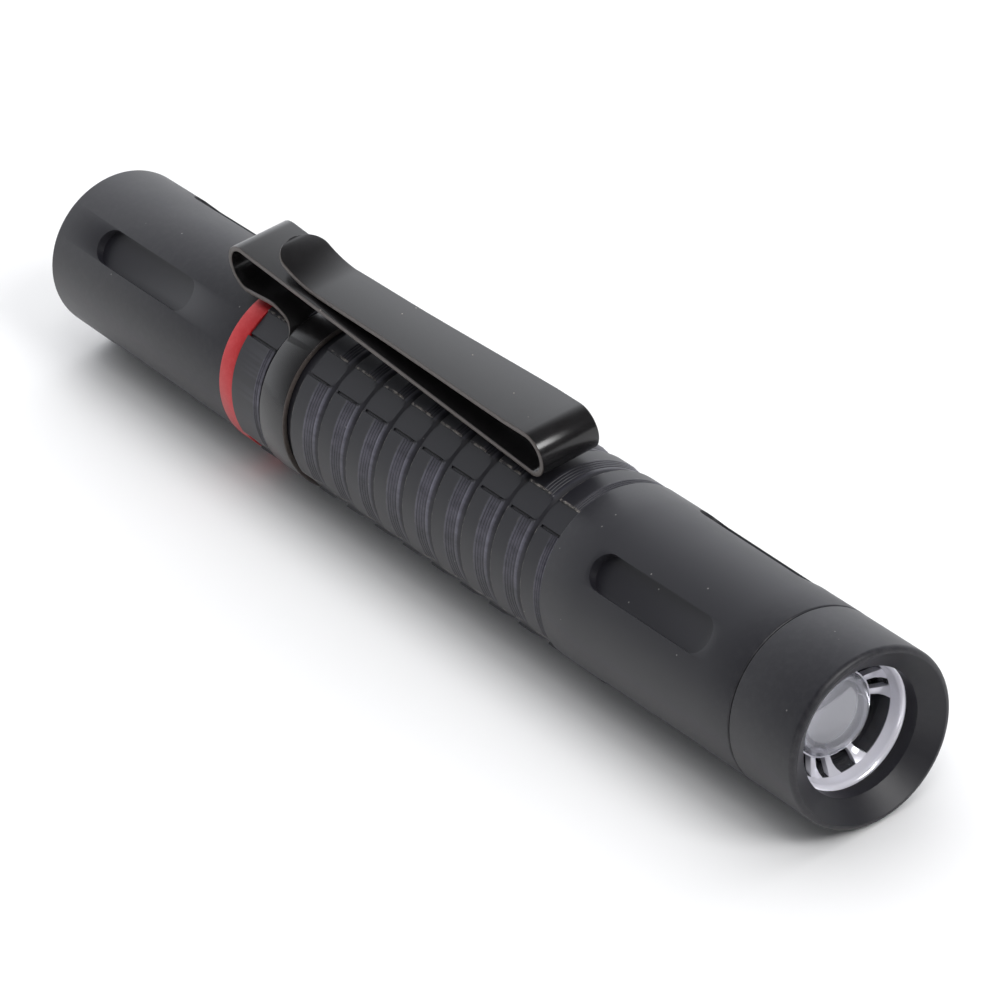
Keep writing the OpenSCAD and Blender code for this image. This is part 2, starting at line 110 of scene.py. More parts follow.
class PenSizes(PropertyGroup):
    """Sizes of the pen's visible details. Lengths are in millimetres, and angles count from the clip."""

    rib_radius: length("Rib radius", "Outer radius of the ribs", 7.13)
    rib_start: length("First rib", "Rear edge of the first rib, from the rear rim", 36.1)
    rib_pitch: length("Rib pitch", "Distance from rib to rib", 3.8)
    rib_count: IntProperty(name="Ribs", description="Number of ribs", default=9)
    rib_land: length("Rib land", "Width of a rib's flat top", 1.66)
    rib_cone: length("Rib cone", "Length of the cone in front of a rib", 1.5)
    groove: length("Rib groove", "Width of the groove that ends a cone", 0.42)
    rib_depth: length("Rib depth", "Step from a rib to its valley", 0.28)
    lathe_lines: IntProperty(name="Lathe lines", description="Fine lines turned into each cone", default=5)
    flat_width: length("Flat width", "Width of the barrel's milled flats", 2.35)
    flat_height: length("Flat height", "Height of the flats above the axis", 6.875)
    flat_angle: angle("Flat angle", "Angle of the first flat from the clip", 29.8)
    slot_angle: angle("Slot angle", "Angle of the first long slot from the clip", 41.3)
    slot_width: length("Slot width", "Width of the long slots", 2.95)
    slot_length: length("Slot length", "Length of the long slots", 13.6)
    band_start: length("Band start", "Rear edge of the clip's band, from the rear rim", 31.8)
    band_width: length("Band width", "Width of the clip's band", 3.3)
    leaf_width: length("Leaf width", "Width of the clip's lower leaf", 5.1)
    strip: length("Strip thickness", "Thickness of the clip's steel strip", 0.45)
    dome_radius: length("Lens dome", "Radius of the lens's middle dome", 3.2)


class PenColours(PropertyGroup):
    """Colours of the pen's finishes."""

    body: paint("Anodised body", "Near-black anodised aluminium", (0.0095, 0.0092, 0.0126))
    # The turned cones' colour is bare metal, and it also carries the lines' painted highlights
    cone: paint("Turned cones", "Fresh-turned cones between the ribs", (0.205, 0.20, 0.245))
    ring: paint("Red ring", "Red anodised ring", (0.42, 0.014, 0.018))
    clip: paint("Clip", "Black finish of the clip", (0.009, 0.0085, 0.009))
    clip_edge: paint("Clip edges", "Sheared edges of the clip", (0.090, 0.075, 0.068))
    lens: paint("Lens", "Clear lens with a lilac tint", (0.86, 0.87, 0.95))


def sizes():
    return bpy.context.scene.pen_sizes


def colours():
    return bpy.context.scene.pen_colours


# ---------------------------------------------------------------- mesh helpers


def place(x, radius, angle):
    """Point at x from the rear rim, at a radius and an angle from the top towards -Y, in metres."""
    return Vector((REAR + x * MM, -radius * math.sin(angle) * MM, AXIS_Z + radius * math.cos(angle) * MM))


def new_object(name, verts, faces, edge=None, line=None):
    """A mesh object from points and faces, with optional values per point.

    Edge marks worn edges. Line marks bright turned lines, partly painted highlight, and on the lens it marks
    painted glints.
    """
    mesh = bpy.data.meshes.new(name)
    mesh.from_pydata([tuple(v) for v in verts], [], faces)
    for key, values in (("edge", edge), ("line", line)):
        if values is not None:
            layer = mesh.attributes.new(key, "FLOAT", "POINT")
            layer.data.foreach_set("value", values)
    obj = bpy.data.objects.new(name, mesh)
    bpy.context.scene.collection.objects.link(obj)
    tidy_normals(obj)
    return obj


def tidy_normals(obj, merge=0.0):
    """Turns every face outwards, after joining points that are closer than merge, in metres."""
    bm = bmesh.new()
    bm.from_mesh(obj.data)
    if merge:
        bmesh.ops.remove_doubles(bm, verts=bm.verts, dist=merge)
    bmesh.ops.recalc_face_normals(bm, faces=bm.faces)
    bm.to_mesh(obj.data)
    bm.free()


def skin(rings):
    """Faces along rows of points that each go round a tube, with both ends closed."""
    faces = []
    for low, high in zip(rings, rings[1:]):
        for k in range(len(low)):
            n = (k + 1) % len(low)
            faces.append((low[k], low[n], high[n], high[k]))
    faces.append(tuple(reversed(rings[0])))
    faces.append(tuple(rings[-1]))
    return faces


def strip_section(width, thickness, corner):
    """Points (across, out, edge) round a strip's section, with round corners and marked sheared sides."""
    steps = 3
    points = []
    for across, out, base in ((1, 1, 0), (-1, 1, 90), (-1, -1, 180), (1, -1, 270)):
        for k in range(steps + 1):
            a = math.radians(base + 90 * k / steps)
            sheared = (base in (0, 180) and k == 0) or (base in (90, 270) and k == steps)
            points.append((across * (width / 2 - corner) + corner * math.cos(a),
                           out * (thickness / 2 - corner) + corner * math.sin(a),
                           1.0 if sheared else (0.7 if k in (1, 2) else 0.0)))
    return points


def apply_modifiers(obj):
    graph = bpy.context.evaluated_depsgraph_get()
    mesh = bpy.data.meshes.new_from_object(obj.evaluated_get(graph))
    obj.modifiers.clear()
    old = obj.data
    obj.data = mesh
    bpy.data.meshes.remove(old)
    mesh.name = obj.name


def finish_piece(obj, body, nodes, finish, sharp=30):
    """Smooths a piece except at corners sharper than so many degrees, and gives it its finish and body.

    A piece with no body is blended between two of them by its own operator.
    """
    obj.data.polygons.foreach_set("use_smooth", [True] * len(obj.data.polygons))
    obj.data.set_sharp_from_angle(angle=math.radians(sharp))
    obj.data.materials.clear()
    obj.data.materials.append(FINISHES[finish])
    if body:
        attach(obj, body)
    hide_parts(*nodes)


def columns(count, flats=None):
    """Angles of a lathe mesh's columns, with extra ones at the sides of four flats."""
    if flats is None:
        return [2 * math.pi * i / count for i in range(count)]
    first, half = flats
    # Close pairs of columns keep each flat's two edges crisp, in degrees from the middle of a flat
    marks = [-45, -half - 1.5, -half - 1.1, -half - 0.14, -half + 0.14, half - 1.8, half - 1.5,
             half - 0.14, half + 0.14]
    steps = [24, 1, 1, 1, 13, 1, 1, 1, 24]
    result = []
    for quarter in range(4):
        for k, (low, n) in enumerate(zip(marks, steps)):
            high = (marks + [45])[k + 1]
            result += [math.radians(first + 90 * quarter + low + (high - low) * i / n) for i in range(n)]
    return result


def lathe(name, profile, count=256, flats=None, radius=None):
    """A closed solid of revolution about the pen's axis.

    The profile is a closed loop of (x, radius, edge, line) from the rear rim, in millimetres. Line may
    be left out. The radius function may change the last three for each angle.
    """
    angles = columns(count, flats)
    verts, edge, line = [], [], []
    for x, r, mark, *rest in profile:
        bright = rest[0] if rest else 0.0
        for a in angles:
            values = radius(x, r, a, mark, bright) if radius else (r, mark, bright)
            verts.append(place(x, values[0], a))
            edge.append(values[1])
            line.append(values[2])
    wide, tall = len(angles), len(profile)
    faces = []
    for i in range(tall):
        for j in range(wide):
            k, n = (i + 1) % tall, (j + 1) % wide
            faces.append((i * wide + j, i * wide + n, k * wide + n, k * wide + j))
    obj = new_object(name, verts, faces, edge, line)
    tidy_normals(obj, merge=1e-7)
    return obj


def plain(points, edge=0.0):
    """Profile points with one edge value."""
    return [(x, r, edge) for x, r in points]


def rounded(points, fillets, steps=4):
    """Rounds chosen corners of a closed profile. Fillets maps a corner's index to its radius."""
    out = []
    for i, p in enumerate(points):
        r = fillets.get(i)
        if not r:
            out.append((p[0], p[1], 0.0))
            continue
        here = Vector(p)
        before = (Vector(points[i - 1]) - here).normalized()
        after = (Vector(points[(i + 1) % len(points)]) - here).normalized()
        half = before.angle(after) / 2
        reach = r / math.tan(half)
        centre = here + (before + after).normalized() * (r / math.sin(half))
        start, end = here + before * reach - centre, here + after * reach - centre
        opening = start.angle_signed(end)
        for k in range(steps + 1):
            turn = Matrix.Rotation(-opening * k / steps, 2)
            spot = centre + turn @ start
            out.append((spot.x, spot.y, 1.0 if 0 < k < steps else 0.4))
    return out


def cut_slots(obj, x, length, width, floor, edge_radius=0.16):
    """Mills four round-ended slots with flat floors, which start at x, and rounds their edges."""
    bm = bmesh.new()
    outline = []
    half = width / 2
    steps = 28
    for centre, start in ((x + half, math.pi / 2), (x + length - half, -math.pi / 2)):
        for k in range(steps + 1):
            a = start + math.pi * k / steps
            outline.append((centre + half * math.cos(a), half * math.sin(a)))
    for quarter in range(4):
        turn = sizes().slot_angle + math.pi / 2 * quarter
        across = Vector((0, -math.cos(turn), -math.sin(turn)))
        out = Vector((0, -math.sin(turn), math.cos(turn)))
        rings = []
        for height in (floor, floor + 2):
            rings.append([
                bm.verts.new(Vector((REAR + px * MM, 0, AXIS_Z)) + (across * py + out * height) * MM)
                for px, py in outline
            ])
        for face in skin(rings):
            bm.faces.new(face)
    bmesh.ops.recalc_face_normals(bm, faces=bm.faces)
    mesh = bpy.data.meshes.new("slot_cutter")
    bm.to_mesh(mesh)
    bm.free()
    cutter = bpy.data.objects.new("slot_cutter", mesh)
    bpy.context.scene.collection.objects.link(cutter)
    cut = obj.modifiers.new("cut", "BOOLEAN")
    cut.operation = "DIFFERENCE"
    cut.solver = "EXACT"
    cut.object = cutter
    bevel = obj.modifiers.new("bevel", "BEVEL")
    bevel.width = edge_radius * MM
    bevel.segments = 3
    bevel.limit_method = "ANGLE"
    bevel.angle_limit = math.radians(62)
    bevel.use_clamp_overlap = True
    apply_modifiers(obj)
    bpy.data.objects.remove(cutter, do_unlink=True)


def sweep(name, stations, thickness, corner=0.09, crown=None):
    """A strip swept along stations of (x, height, direction angle, width), in millimetres.

    Crown gives how far a station is bent round the pen, from 0 for flat to 1 for a fit on the barrel.
    """
    verts, edge, rings = [], [], []
    for x, h, direction, width in stations:
        bent = crown(x, h) if crown else 0.0
        normal = Vector((-math.sin(direction), math.cos(direction)))
        section = strip_section(width, thickness, min(corner, width * 0.45))
        rings.append(range(len(verts), len(verts) + len(section)))
        for side, up, mark in section:
            sag = bent * (h - math.sqrt(h * h - side * side)) if bent else 0.0
            verts.append(Vector((REAR + (x + normal.x * up) * MM, side * MM,
                                 AXIS_Z + (h + normal.y * up - sag) * MM)))
            edge.append(mark)
    return new_object(name, verts, skin(rings), edge)


def coil(name, x0, x1, r0, r1, wire, turns, flat_ends=0.75):
    """A wire spring from x0 to x1 and radius r0 to r1, with a nearly flat turn at each end, as a tube."""
    steps, sides = int(turns * 40), 12
    path = []
    for i in range(steps + 1):
        t = i / steps
        turn = t * turns
        lead = min(1.0, max(0.0, (turn - flat_ends) / (turns - 2 * flat_ends)))
        x = x0 + wire + (x1 - x0 - 2 * wire) * (lead * lead * (3 - 2 * lead) * 0.3 + lead * 0.7)
        path.append(place(x, r0 + (r1 - r0) * t, 2 * math.pi * turn))
    verts = []
    for i, p in enumerate(path):
        ahead = (path[min(i + 1, steps)] - path[max(i - 1, 0)]).normalized()
        out = (p - Vector((p.x, 0, AXIS_Z))).normalized()
        out = (out - ahead * out.dot(ahead)).normalized()
        other = ahead.cross(out)
        for k in range(sides):
            a = 2 * math.pi * k / sides
            verts.append(p + (out * math.cos(a) + other * math.sin(a)) * wire * MM)
    rings = [range(i * sides, (i + 1) * sides) for i in range(steps + 1)]
    return new_object(name, verts, skin(rings))


# ---------------------------------------------------------------- materials


RANGE = ("From Min", "From Max", "To Min", "To Max")


class Finish:
    """A node material under construction."""

    def __init__(self, name):
        self.material = bpy.data.materials.new(name)
        self.material.use_nodes = True
        self.tree = self.material.node_tree
        self.shader = self.tree.nodes["Principled BSDF"]
        self.coords = self.tree.nodes.new("ShaderNodeTexCoord").outputs["Object"]

    def node(self, kind, **values):
        node = self.tree.nodes.new(kind)
        for key, value in values.items():
            setattr(node, key, value)
        return node

    def link(self, output, target):
        self.tree.links.new(output, target)

    def set(self, **values):
        for key, value in values.items():
            self.shader.inputs[key.replace("_", " ")].default_value = value

    def noise(self, scale, detail=3.0, rough=0.6, stretch=None):
        """Noise with its scale in lumps per millimetre."""
        node = self.node("ShaderNodeTexNoise")
        node.inputs["Scale"].default_value = scale / MM
        node.inputs["Detail"].default_value = detail
        node.inputs["Roughness"].default_value = rough
        if stretch:
            mapping = self.node("ShaderNodeMapping")
            mapping.inputs["Scale"].default_value = stretch
            self.link(self.coords, mapping.inputs["Vector"])
            self.link(mapping.outputs["Vector"], node.inputs["Vector"])
        else:
            self.link(self.coords, node.inputs["Vector"])
        return node.outputs["Fac"]

    def ramp(self, value, low, high, start=0.0, end=1.0):
        """Maps value from low..high to start..end, held at the ends."""
        node = self.node("ShaderNodeMapRange")
        for key, number in zip(RANGE, (low, high, start, end)):
            node.inputs[key].default_value = number
        self.link(value, node.inputs["Value"])
        return node.outputs["Result"]

    def math(self, operation, a, b):
        node = self.node("ShaderNodeMath", operation=operation)
        for socket, value in zip(node.inputs, (a, b)):
            if isinstance(value, (int, float)):
                socket.default_value = value
            else:
                self.link(value, socket)
        return node.outputs["Value"]

    def mix(self, amount, a, b):
        """Mixes two colours, given as sockets or as three numbers."""
        node = self.node("ShaderNodeMix", data_type="RGBA")
        for socket, value in zip((node.inputs[0], node.inputs[6], node.inputs[7]), (amount, a, b)):
            if isinstance(value, (int, float)):
                socket.default_value = value
            elif hasattr(value, "is_output"):
                self.link(value, socket)
            else:
                socket.default_value = (*value, 1.0)
        return node.outputs[2]

    def attribute(self, name):
        return self.node("ShaderNodeAttribute", attribute_name=name).outputs["Fac"]

    def bump(self, *layers):
        """Bump from (height socket, strength, distance in millimetres) layers."""
        last = None
        for height, strength, distance in layers:
            node = self.node("ShaderNodeBump")
            node.inputs["Strength"].default_value = strength
            node.inputs["Distance"].default_value = distance * MM
            self.link(height, node.inputs["Height"])
            if last:
                self.link(last, node.inputs["Normal"])
            last = node.outputs["Normal"]
        self.link(last, self.shader.inputs["Normal"])

    def colour(self, socket):
        self.link(socket, self.shader.inputs["Base Color"])

    def roughness(self, socket):
        self.link(socket, self.shader.inputs["Roughness"])


def specks(finish, scale, size, rarity):
    """Sparse dust specks: a mask of 0 or 1 from round cells, some left out."""
    cells = finish.node("ShaderNodeTexVoronoi")
    cells.inputs["Scale"].default_value = scale / MM
    finish.link(finish.coords, cells.inputs["Vector"])
    near = finish.ramp(cells.outputs["Distance"], size, size * 1.6, 1.0, 0.0)
    split = finish.node("ShaderNodeSeparateColor")
    finish.link(cells.outputs["Color"], split.inputs["Color"])
    chosen = finish.math("GREATER_THAN", split.outputs[0], rarity)
    return finish.math("MULTIPLY", near, chosen)


def anodised(name, base, pale, rough=0.46, wear=0.5):
    """Bead-blasted anodised aluminium with a fine grain, worn edges, dust and a few smudges."""
    f = Finish(name)
    mottle = f.noise(0.12, 3, 0.5)
    grain = f.noise(14, 2, 0.6)
    colour = f.mix(f.ramp(mottle, 0.35, 0.7), base, tuple(c * 1.15 for c in base))
    colour = f.mix(f.ramp(grain, 0.35, 0.75), colour, tuple(c * 1.2 for c in base))
    edges = f.math("MULTIPLY", f.attribute("edge"), f.ramp(f.noise(1.8, 4, 0.7), 0.44, 0.68))
    colour = f.mix(f.math("MULTIPLY", edges, wear), colour, pale)
    dust = f.math("MULTIPLY", specks(f, 1.0, 0.05, 0.84), 0.5)
    colour = f.mix(dust, colour, (0.30, 0.29, 0.28))
    smudge = f.ramp(f.noise(0.22, 5, 0.65), 0.67, 0.80, 0.0, 0.3)
    colour = f.mix(smudge, colour, (0.16, 0.16, 0.165))
    f.colour(colour)
    f.roughness(f.ramp(mottle, 0.3, 0.7, rough - 0.02, rough + 0.02))
    f.bump((grain, 0.03, 0.004))
    return f


def make_finishes():
    c = colours()
    made = {}
    f = anodised("body_anodised", tuple(c.body), (0.12, 0.115, 0.12), wear=0.12)
    made["body"] = f.material

    f = anodised("ribs_anodised", tuple(c.body), (0.34, 0.31, 0.28), wear=0.9)
    # The line value mixes in the cones' colour and metal: partly bare turned metal, partly painted highlight
    # graded by angle round the pen
    lines = f.attribute("line")
    uneven = f.ramp(f.noise(1.1, 4, 0.7, (0.3, 1, 1)), 0.3, 0.62, 0.35, 1.0)
    amount = f.math("MULTIPLY", lines, uneven)
    dark = f.shader.inputs["Base Color"].links[0].from_socket
    f.colour(f.mix(amount, dark, tuple(c.cone)))
    f.link(f.math("MULTIPLY", amount, 0.9), f.shader.inputs["Metallic"])
    made["ribs"] = f.material

    f = anodised("ring_anodised", tuple(c.ring), (0.62, 0.08, 0.08), rough=0.36, wear=0.6)
    f.set(Metallic=0.35)
    made["ring"] = f.material

    f = Finish("clip_steel")
    mottle = f.noise(0.5, 4, 0.6)
    grain = f.noise(7, 3, 0.6, (0.3, 1, 1))
    side = f.attribute("edge")
    face = f.mix(f.ramp(mottle, 0.35, 0.7), tuple(c.clip), tuple(v * 1.35 for v in c.clip))
    rubbed = f.mix(f.ramp(f.noise(2.5, 4, 0.7), 0.35, 0.65), tuple(v * 0.75 for v in c.clip_edge),
                   tuple(c.clip_edge))
    colour = f.mix(f.ramp(side, 0.25, 0.9), face, rubbed)
    colour = f.mix(f.math("MULTIPLY", specks(f, 0.9, 0.04, 0.80), 0.7), colour, (0.42, 0.38, 0.33))
    f.colour(colour)
    f.roughness(f.math("ADD", f.ramp(mottle, 0.3, 0.7, 0.19, 0.24), f.ramp(side, 0.3, 1, 0.0, 0.18)))
    f.bump((grain, 0.10, 0.008))
    made["clip"] = f.material

    made["button"] = rubber("button_rubber", (0.017, 0.017, 0.018), 0.62)
    made["seal"] = rubber("seal_rubber", (0.012, 0.012, 0.013), 0.4)

    f = Finish("lens_acrylic")
    haze = f.noise(0.25, 2, 0.5)
    # Marked parts are opaque and pale, and stand for the glints that clear plastic has there
    mirror = f.attribute("line")
    clear = f.mix(f.ramp(haze, 0.3, 0.7), tuple(c.lens), tuple(v * 0.94 for v in c.lens))
    f.colour(f.mix(mirror, clear, (0.93, 0.92, 1.0)))
    f.link(f.math("MULTIPLY", mirror, 0.3), f.shader.inputs["Metallic"])
    f.roughness(f.math("ADD", f.ramp(haze, 0.3, 0.7, 0.02, 0.06), f.math("MULTIPLY", mirror, 0.14)))
    f.bump((f.noise(0.3, 2, 0.5), 0.015, 0.02))
    f.set(IOR=1.49)
    f.link(f.ramp(mirror, 0.0, 1.0, 0.97, 0.0), f.shader.inputs["Transmission Weight"])
    made["lens"] = f.material

    for key, name, colour, rough in (
        ("brass", "contact_brass", (0.62, 0.42, 0.15), 0.3),
        ("spring", "spring_steel", (0.62, 0.61, 0.6), 0.25),
        ("gold", "spring_gold", (0.75, 0.53, 0.2), 0.22),
        ("cell_steel", "cell_steel", (0.6, 0.6, 0.6), 0.3),
    ):
        f = Finish(name)
        mottle = f.noise(1.2, 4, 0.6)
        marks = f.noise(3, 3, 0.7, (0.2, 4, 4))
        f.colour(f.mix(f.ramp(mottle, 0.3, 0.7), tuple(v * 0.8 for v in colour), colour))
        f.roughness(f.ramp(marks, 0.3, 0.7, rough - 0.06, rough + 0.1))
        f.bump((marks, 0.12, 0.01))
        f.set(Metallic=1.0)
        made[key] = f.material

    for key, name, colour, rough in (
        ("switch", "switch_plastic", (0.04, 0.043, 0.05), 0.45),
        ("plunger", "plunger_plastic", (0.62, 0.59, 0.5), 0.4),
        ("laminate", "board_laminate", (0.02, 0.13, 0.045), 0.35),
        ("paper", "insulator_paper", (0.7, 0.69, 0.64), 0.85),
        ("component", "component_grey", (0.05, 0.05, 0.055), 0.5),
        ("white_board", "board_white", (0.78, 0.78, 0.75), 0.4),
        ("spacer", "spacer_plastic", (0.02, 0.02, 0.024), 0.45),
        ("wire_red", "wire_red", (0.42, 0.02, 0.018), 0.5),
        ("wire_black", "wire_black", (0.018, 0.018, 0.018), 0.5),
        ("package", "led_package", (0.78, 0.74, 0.5), 0.3),
    ):
        f = Finish(name)
        mottle = f.noise(1.5, 4, 0.6)
        grain = f.noise(6, 3, 0.6)
        f.colour(f.mix(f.ramp(mottle, 0.3, 0.7), tuple(v * 0.88 for v in colour), colour))
        f.roughness(f.ramp(grain, 0.3, 0.7, rough - 0.06, rough + 0.08))
        f.bump((grain, 0.15, 0.012))
        made[key] = f.material

    f = Finish("cell_wrap")
    split = f.node("ShaderNodeSeparateXYZ")
    f.link(f.coords, split.inputs["Vector"])
    # The wrap is blue, with a silver stretch at the positive end
    seam, silver_length = 0.1 * MM, 12 * MM
    silver_start = along("cell_can", 1) * MM + REAR - silver_length
    silver = f.ramp(split.outputs["X"], silver_start - seam, silver_start + seam)
    blue = f.mix(f.ramp(f.noise(0.4, 3), 0.3, 0.7), (0.02, 0.05, 0.16), (0.03, 0.07, 0.2))
    f.colour(f.mix(silver, blue, (0.5, 0.5, 0.52)))
    f.roughness(f.ramp(f.noise(0.7, 3), 0.3, 0.7, 0.25, 0.34))
    f.set(Metallic=0.5)
    f.bump((f.noise(2.5, 3), 0.08, 0.02))
    made["cell_wrap"] = f.material
    return made


def rubber(name, colour, rough):
    """Moulded rubber with a matt, slightly uneven skin."""
    f = Finish(name)
    mottle = f.noise(0.8, 4, 0.6)
    grain = f.noise(5, 3, 0.6)
    dark, light = (tuple(v * share for v in colour) for share in (0.8, 1.3))
    f.colour(f.mix(f.ramp(mottle, 0.3, 0.7), dark, light))
    f.roughness(f.ramp(grain, 0.3, 0.7, rough - 0.06, rough + 0.08))
    f.bump((grain, 0.3, 0.02))
    return f.material


# Every finish by its short name, filled in by the first operator
FINISHES = {}


class PEN_OT_finishes(Operator):
    """Make every finish and give the kept CAD nodes theirs"""

    bl_idname = "pen.finishes"
    bl_label = "Finishes"

    def execute(self, context):
        FINISHES.update(make_finishes())
        kept = {
            "switch_housing": "switch", "switch_plunger": "plunger", "switch_contact": "brass",
            "switch_board": "laminate", "switch_retainer": "brass", "cell_can": "cell_wrap",
            "cell_insulator": "paper", "cell_cap": "cell_steel", "pill": "brass",
            "driver_board": "laminate", "driver_parts": "component", "led_board": "white_board",
            "lead_wire_red": "wire_red", "lead_wire_black": "wire_black", "lens_spacer": "spacer",
            "lens_seal": "seal",
        }
        for node, key in kept.items():
            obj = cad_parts[node]
            for slot in obj.material_slots:
                slot.material = FINISHES[key]
        return {"FINISHED"}


# ---------------------------------------------------------------- tail


class PEN_OT_tail(Operator):
    """Build the tail cap, its rubber button and the red ring"""

    bl_idname = "pen.tail"
    bl_label = "Tail cap, button and ring"

    def execute(self, context):
        opening, rim, mouth = 4.0, 6.8, 6.92
        end_wall, bore = 1.5, 5.6
        thread_floor, thread_bore = 19.85, 6.35
        slot_start, slot_floor = 5.6, 6.08
        outer = [(end_wall, opening), (0.0, opening), (0.0, rim), (RING_X, mouth), (RING_X, SPIGOT),
                 (THREAD_END + 0.1, SPIGOT), (THREAD_END, thread_bore), (thread_floor, thread_bore),
                 (thread_floor, bore), (end_wall, bore)]
        cap = lathe("tail_cap_shell", rounded(outer, {1: 0.12, 2: 0.3, 3: 0.06}))
        cut_slots(cap, slot_start, sizes().slot_length, sizes().slot_width, slot_floor)
        finish_piece(cap, "tail", ["tail_cap"], "body")

        proud, crown_height, crown_radius = 0.99, 0.72, 3.88
        shaft, collar, collar_start, collar_end = 3.9, 4.65, 1.6, 2.4
        steps = 14
        crown = []
        for k in range(steps + 1):
            a = math.pi / 2 * k / steps
            crown.append((-proud + crown_height * (1 - math.cos(a)) ** 1.4,
                          max(crown_radius * math.sin(a), AXIS)))
        skirt = [(-0.05, shaft), (0.3, shaft), (collar_start, shaft), (collar_start, collar),
                 (collar_end, collar), (collar_end, AXIS)]
        boot = lathe("button_boot", plain(crown + skirt), count=128)
        finish_piece(boot, "button", ["tail_button"], "button")

        low, high = along("accent_ring", 0), along("accent_ring", 1)
        outside = 7.03
        band = [(low, SPIGOT), (low, outside), (high, outside), (high, SPIGOT)]
        ring = lathe("accent_band", rounded(band, {1: 0.07, 2: 0.07}))
        finish_piece(ring, "ring", ["accent_ring"], "ring")
        return {"FINISHED"}


# ---------------------------------------------------------------- barrel


def lined_cone(x, length, radius, drop, lines, relief=0.028):
    """A cone with fine saw-tooth lines left by the lathe tool, the last one wider. Each crest is marked
    bright, partly as bare turned metal and partly as a painted highlight, the last one most.
    """
    points = []
    step = length / (lines + 0.6)
    for k in range(lines):
        last = k == lines - 1
        width = step * (1.6 if last else 1.0)
        # Crest values paint each line bright: partly bare turned metal, partly painted highlight
        peak, tail = (1.0, 0.9) if last else (0.75, 0.5)
        here = k * step
        fall = drop * here / length
        points.append((x + here, radius - fall - (relief if k else 0), 0.0, 0.12))
        points.append((x + here + width * 0.35, radius - fall + 0.004, 0.0, peak))
        points.append((x + here + width * 0.85, radius - fall - drop * 0.6 / lines, 0.0, tail))
    points.append((x + length, radius - drop, 0.0, 0.3))
    return points


class PEN_OT_barrel(Operator):
    """Build the barrel with its collar, groove, ribs, lined cones, flats and rear thread"""

    bl_idname = "pen.barrel"
    bl_label = "Barrel"

    def execute(self, context):
        s = sizes()
        top, valley = s.rib_radius, s.rib_radius - s.rib_depth
        soft = 0.045
        pitch, crest, depth, step = 0.8, 6.3, 0.25, 0.05
        bore, spigot, seal_floor = 5.38, 6.3, 5.74
        seal_start, seal_end = 23.85, 24.65
        collar_end, groove, band_seat = 30.8, 6.71, 31.48
        stations = int((THREAD_END - THREAD_START) / step)
        # A radius below 0 marks the thread, whose helix is worked out for each angle
        thread = [(THREAD_START + step * k, -1.0, 0.0) for k in range(stations + 1)]
        profile = plain([(20.05, bore), (19.9, 5.5), (19.9, 5.9), (20.1, 6.05)]) + thread
        profile += plain([
            (THREAD_END + 0.1, spigot), (seal_start, spigot), (seal_start, seal_floor),
            (seal_end, seal_floor), (seal_end, spigot), (BARREL_X, spigot), (BARREL_X, top - soft),
        ])
        profile += [(BARREL_X + soft, top, 0.15), (BARREL_X + soft * 3, top, 0.0), (collar_end, top, 0.0)]
        profile += lined_cone(collar_end, 0.65, top, 0.15, 3)
        profile += plain([(band_seat - 0.03, groove + 0.03), (band_seat, groove), (s.rib_start, groove)])
        for k in range(s.rib_count):
            x = s.rib_start + s.rib_pitch * k
            last = k == s.rib_count - 1
            profile += [(x, top - soft, 0.2), (x + soft, top, 0.6), (x + soft * 2.5, top, 0.0),
                        (x + s.rib_land - 0.1, top, 0.0), (x + s.rib_land, top, 0.2)]
            if last:
                profile += lined_cone(x + s.rib_land, HEAD_X - x - s.rib_land, top, 0.2, 4)
                break
            profile += lined_cone(x + s.rib_land, s.rib_cone, top, s.rib_depth - 0.06, s.lathe_lines)
            end = x + s.rib_land + s.rib_cone
            profile += plain([(end + s.groove * 0.6, valley - 0.1), (end + s.groove * 0.8, valley - 0.1),
                              (end + s.groove, valley), (x + s.rib_pitch, valley)])
        profile += plain([(HEAD_X, 6.2), (73.0, 6.2), (73.01, bore)])
        flat_half = math.degrees(math.asin(s.flat_width / 2 / 7.0))
        flat_angle = math.degrees(s.flat_angle)

        def radius(x, r, a, mark, bright):
            if r < 0:
                phase = ((x - THREAD_START) / pitch - a / (2 * math.pi)) % 1.0
                rise = min(1.0, max(0.0, 2.2 - abs(phase - 0.5) * 6.5))
                fade = min(1.0, (x - THREAD_START) / 0.2, (THREAD_END - x) / 0.2)
                return crest - depth + depth * rise * max(0.0, fade), mark, bright
            turn = (math.degrees(a) - flat_angle + 45) % 90 - 45
            floor = s.flat_height / math.cos(math.radians(turn))
            if abs(turn) < flat_half and floor < r:
                if turn > flat_half - 1.6:
                    floor -= 0.2 * min(1.0, (r - floor) / 0.08)
                return floor, 0.0, 0.0
            if flat_half < -turn < flat_half + 1.2 and floor < r:
                return r, max(mark, 1.0), 0.0
            # The lines' brightness is graded by angle as painted light: faint near the clip, a painted
            # highlight strong beside it, faint below
            lean = abs((math.degrees(a) + 180) % 360 - 180)
            beside = min(1.0, max(0.0, (lean - 32) / 20))
            below = min(1.0, max(0.0, (lean - 60) / 36))
            return r, mark, bright * max(0.2, beside * (1 - 0.8 * below))

        tube = lathe("barrel_tube", profile, flats=(flat_angle, flat_half), radius=radius)
        finish_piece(tube, "barrel", ["barrel"], "ribs", sharp=24)
        return {"FINISHED"}


# ---------------------------------------------------------------- head


